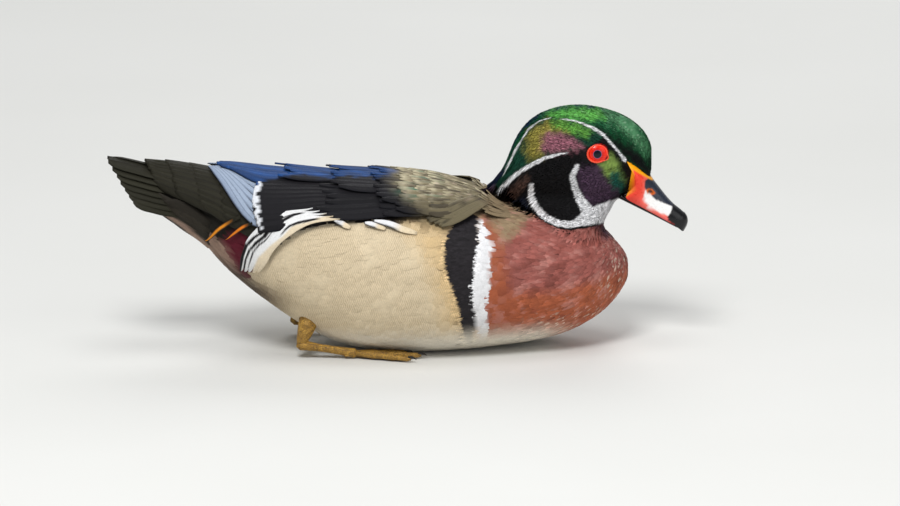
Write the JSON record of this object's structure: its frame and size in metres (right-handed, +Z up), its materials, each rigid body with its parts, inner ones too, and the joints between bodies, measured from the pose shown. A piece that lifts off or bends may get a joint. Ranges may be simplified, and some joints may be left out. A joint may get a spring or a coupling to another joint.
{
  "type": "wood duck",
  "caption": "Life-size still drake wood duck resting on its belly as if afloat, with crested head, folded wings, cocked tail and tucked webbed feet",
  "frame": {"origin": "middle of the flat of the belly, at floor level", "axes": "+X the way the breast points, +Y the bird's left, +Z up"},
  "size_m": [0.3499, 0.1331, 0.1481],
  "materials": {
    "feathers_body": "soft feather coat, buff flanks and chestnut breast",
    "feathers_neck": "soft feather coat, dark",
    "feathers_head": "glossy green feather coat",
    "bill": "smooth horn, red, white, yellow and black",
    "bill_lower": "smooth horn, black",
    "eye": "wet, red iris with a dark pupil",
    "eyelid": "bare orange-red skin",
    "feathers_wing": "smooth flight feathers, black with a blue gloss",
    "feathers_tail": "smooth flight feathers, black and olive",
    "leg": "scaled skin, dull yellow"
  },
  "bodies": {
    "root": {"torso": "feathers_body", "neck": "feathers_neck", "head": "feathers_head", "crest": "feathers_head", "bill_upper": "bill", "bill_lower": "bill_lower", "eye_left": "eye", "eye_right": "eye", "eyelid_left": "eyelid", "eyelid_right": "eyelid", "wing_left": "feathers_wing", "wing_right": "feathers_wing", "tail": "feathers_tail", "leg_left": "leg", "leg_right": "leg"}
  },
  "joints": []
}
